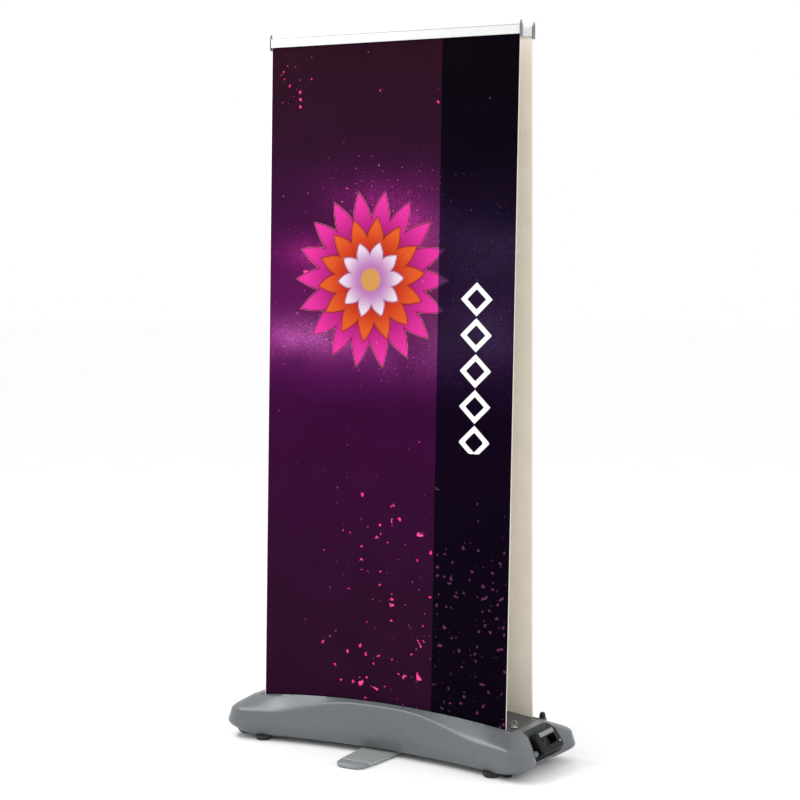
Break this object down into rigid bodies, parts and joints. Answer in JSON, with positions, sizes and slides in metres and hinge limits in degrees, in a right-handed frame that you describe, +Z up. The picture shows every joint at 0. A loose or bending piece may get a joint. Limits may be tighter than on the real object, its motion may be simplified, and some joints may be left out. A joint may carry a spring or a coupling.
{
  "type": "roll-up banner stand",
  "caption": "Double-sided outdoor roll-up banner stand: fillable moulded base with rollers, telescopic pole, hinged clamp rails, carry handle, wheels, swing-out bar",
  "frame": {"origin": "On the ground, under the middle of the base", "axes": "+Z up, +X along the base towards the carry handle, -Y towards the front banner"},
  "size_m": [1.0753, 0.566, 2.169],
  "materials": {
    "grey_plastic": "textured moulding",
    "dark_plastic": "satin",
    "rubber": "matt",
    "insert_plastic": "satin",
    "aluminium": "anodised",
    "steel": "zinc plated",
    "white_coat": "powder coated",
    "cap_plastic": "satin",
    "stabiliser_coat": "powder coated",
    "banner_film": "printed film"
  },
  "bodies": {
    "base": {"banner_front": "banner_film", "banner_rear": "banner_film", "base_tank": "grey_plastic", "cassette_end_plate_left": "steel", "cassette_end_plate_right": "steel", "cassette_tray": "aluminium", "fill_cap_seal": "rubber", "foot_pad_front_left": "rubber", "foot_pad_front_right": "rubber", "foot_pad_rear_left": "rubber", "foot_pad_rear_right": "rubber", "handle_pivot_pin": "steel", "pole_lower_tube": "aluminium", "pole_socket": "dark_plastic", "roller_shaft_front": "steel", "roller_shaft_rear": "steel", "roller_spring_front": "steel", "roller_spring_rear": "steel", "stabiliser_pivot_bolt": "steel", "stabiliser_washer": "steel", "top_cover": "grey_plastic", "wheel_axle": "steel"},
    "fill_cap": {"fill_cap": "dark_plastic"},
    "lock_left": {"cover_lock_stud_left": "steel"},
    "lock_right": {"cover_lock_stud_right": "steel"},
    "lock_ring_left": {"cover_lock_ring_left": "steel"},
    "lock_ring_right": {"cover_lock_ring_right": "steel"},
    "levelling_foot_front": {"levelling_foot_front": "rubber"},
    "levelling_foot_rear": {"levelling_foot_rear": "rubber"},
    "wheel_front": {"wheel_front": "dark_plastic"},
    "wheel_rear": {"wheel_rear": "dark_plastic"},
    "handle": {"carry_handle": "dark_plastic", "handle_grip_insert": "insert_plastic"},
    "stabiliser": {"stabiliser_bar": "stabiliser_coat", "stabiliser_nose_front": "cap_plastic", "stabiliser_nose_rear": "cap_plastic"},
    "pole_middle": {"pole_middle_tube": "aluminium"},
    "collar_lower": {"pole_collar_lower": "dark_plastic"},
    "collar_upper": {"pole_collar_upper": "dark_plastic"},
    "pole_upper": {"pole_upper_tube": "aluminium", "pole_head": "dark_plastic", "rail_hook_front": "dark_plastic", "rail_hook_rear": "dark_plastic", "top_rail_front": "white_coat", "top_rail_rear": "white_coat", "rail_cap_front_left": "cap_plastic", "rail_cap_front_right": "cap_plastic", "rail_cap_rear_left": "cap_plastic", "rail_cap_rear_right": "cap_plastic"},
    "jaw_front": {"rail_jaw_front": "white_coat"},
    "jaw_rear": {"rail_jaw_rear": "white_coat"},
    "roller_front": {"roller_tube_front": "aluminium", "roller_plug_front_left": "dark_plastic", "roller_plug_front_right": "dark_plastic"},
    "roller_rear": {"roller_tube_rear": "aluminium", "roller_plug_rear_left": "dark_plastic", "roller_plug_rear_right": "dark_plastic"}
  },
  "joints": [
    {"name": "fill_cap_turn", "type": "hinge", "parent": "base", "child": "fill_cap", "pos_m": [0.44, 0.12, 0.1235], "axis": [0, 0, 1], "range_deg": [0, 720]},
    {"name": "stabiliser_swing", "type": "hinge", "parent": "base", "child": "stabiliser", "pos_m": [0, 0, 0.008], "axis": [0, 0, 1], "range_deg": [0, 90]},
    {"name": "handle_fold", "type": "hinge", "parent": "base", "child": "handle", "pos_m": [0.517, 0, 0.07], "axis": [0, 1, 0], "range_deg": [0, 95]},
    {"name": "pole_upper_slide", "type": "slide", "parent": "pole_middle", "child": "pole_upper", "axis": [0, 0, -1], "range_m": [0, 0.57], "deforming": ["banner_front", "banner_rear"]},
    {"name": "pole_middle_slide", "type": "slide", "parent": "base", "child": "pole_middle", "axis": [0, 0, -1], "range_m": [0, 0.57], "deforming": ["banner_front", "banner_rear"]},
    {"name": "collar_lower_twist", "type": "hinge", "parent": "base", "child": "collar_lower", "pos_m": [0, 0, 0.8], "axis": [0, 0, 1], "range_deg": [0, 60]},
    {"name": "collar_upper_twist", "type": "hinge", "parent": "pole_middle", "child": "collar_upper", "pos_m": [0, 0, 1.42], "axis": [0, 0, 1], "range_deg": [0, 60]},
    {"name": "roller_front_turn", "type": "hinge", "parent": "base", "child": "roller_front", "pos_m": [0, -0.06, 0.072], "axis": [1, 0, 0], "range_deg": [-5, 2566.5]},
    {"name": "roller_rear_turn", "type": "hinge", "parent": "base", "child": "roller_rear", "pos_m": [0, 0.06, 0.072], "axis": [-1, 0, 0], "range_deg": [-5, 2566.5]},
    {"name": "jaw_front_open", "type": "hinge", "parent": "pole_upper", "child": "jaw_front", "pos_m": [0, -0.0431, 2.1531], "axis": [-1, 0, 0], "range_deg": [0, 75]},
    {"name": "wheel_front_spin", "type": "hinge", "parent": "base", "child": "wheel_front", "pos_m": [-0.495, -0.1, 0.0265], "axis": [0, 1, 0], "continuous": true},
    {"name": "levelling_foot_front_screw", "type": "slide", "parent": "base", "child": "levelling_foot_front", "axis": [0, 0, 1], "range_m": [-0.012, 0]},
    {"name": "jaw_rear_open", "type": "hinge", "parent": "pole_upper", "child": "jaw_rear", "pos_m": [0, 0.0431, 2.1531], "axis": [1, 0, 0], "range_deg": [0, 75]},
    {"name": "wheel_rear_spin", "type": "hinge", "parent": "base", "child": "wheel_rear", "pos_m": [-0.495, 0.1, 0.0265], "axis": [0, 1, 0], "continuous": true},
    {"name": "levelling_foot_rear_screw", "type": "slide", "parent": "base", "child": "levelling_foot_rear", "axis": [0, 0, 1], "range_m": [-0.012, 0]},
    {"name": "lock_left_turn", "type": "hinge", "parent": "base", "child": "lock_left", "pos_m": [-0.432, -0.05, 0.13537], "axis": [0, 0, 1], "range_deg": [0, 90]},
    {"name": "lock_ring_left_fold", "type": "hinge", "parent": "lock_left", "child": "lock_ring_left", "pos_m": [-0.432, -0.05, 0.13537], "axis": [1, 0, 0], "range_deg": [-78, 78]},
    {"name": "lock_right_turn", "type": "hinge", "parent": "base", "child": "lock_right", "pos_m": [0.432, -0.05, 0.13537], "axis": [0, 0, 1], "range_deg": [0, 90]},
    {"name": "lock_ring_right_fold", "type": "hinge", "parent": "lock_right", "child": "lock_ring_right", "pos_m": [0.432, -0.05, 0.13537], "axis": [1, 0, 0], "range_deg": [-78, 78]}
  ],
  "couplings": [
    {"joint": "pole_middle_slide", "follows": "pole_upper_slide", "ratio": 1},
    {"joint": "roller_front_turn", "follows": "pole_upper_slide", "rad_per_m": 78.431},
    {"joint": "roller_rear_turn", "follows": "pole_upper_slide", "rad_per_m": 78.431}
  ]
}
